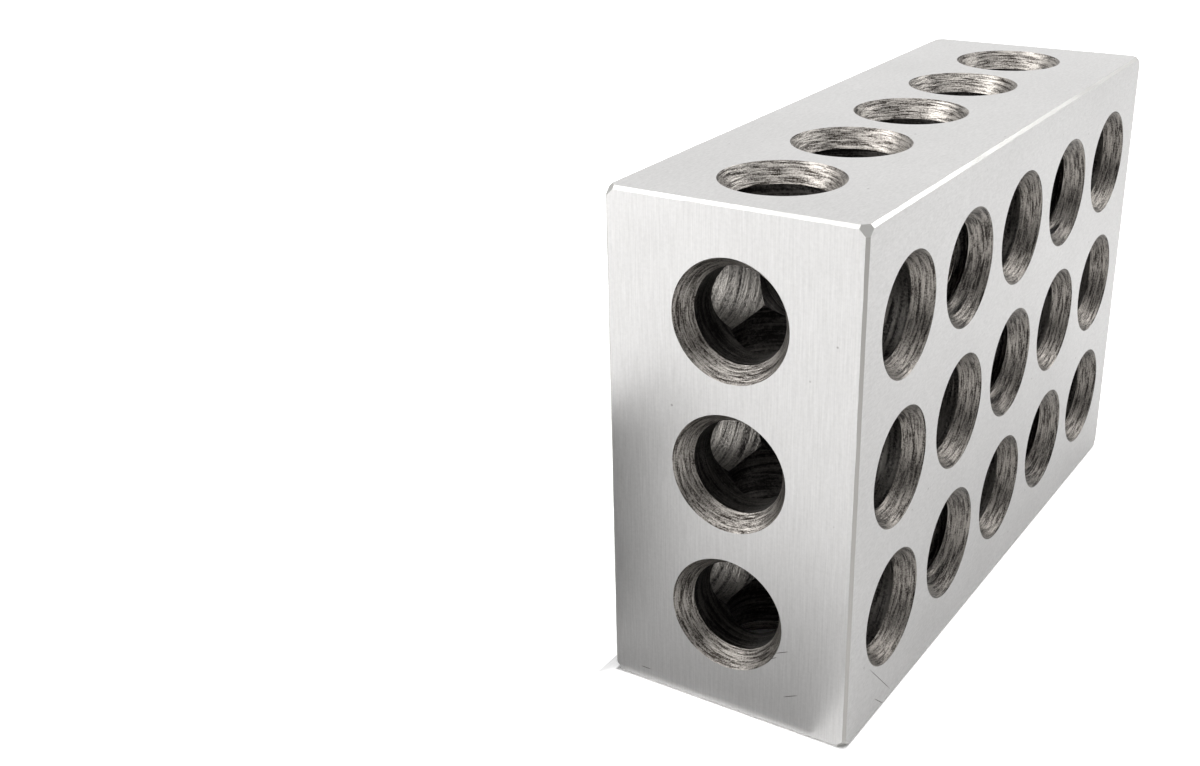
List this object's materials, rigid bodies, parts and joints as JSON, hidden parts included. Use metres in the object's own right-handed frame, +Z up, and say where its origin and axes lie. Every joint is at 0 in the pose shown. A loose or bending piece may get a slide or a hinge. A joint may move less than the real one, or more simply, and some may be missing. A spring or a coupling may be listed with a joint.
{
  "type": "machinist setup block",
  "caption": "Hardened and ground steel setup block with a grid of countersunk plain and tapped holes running through it three ways.",
  "frame": {"origin": "middle of the bottom face that the block stands on", "axes": "+X along the 76.2 mm length, +Y through the 25.4 mm thickness, +Z up the 50.8 mm height; the broad face at -Y is the front"},
  "size_m": [0.0762, 0.0254, 0.0508],
  "materials": {
    "ground_steel": "surface ground, with dark heat-treated countersinks and bores"
  },
  "bodies": {
    "root": {"setup_block": "ground_steel"}
  },
  "joints": []
}
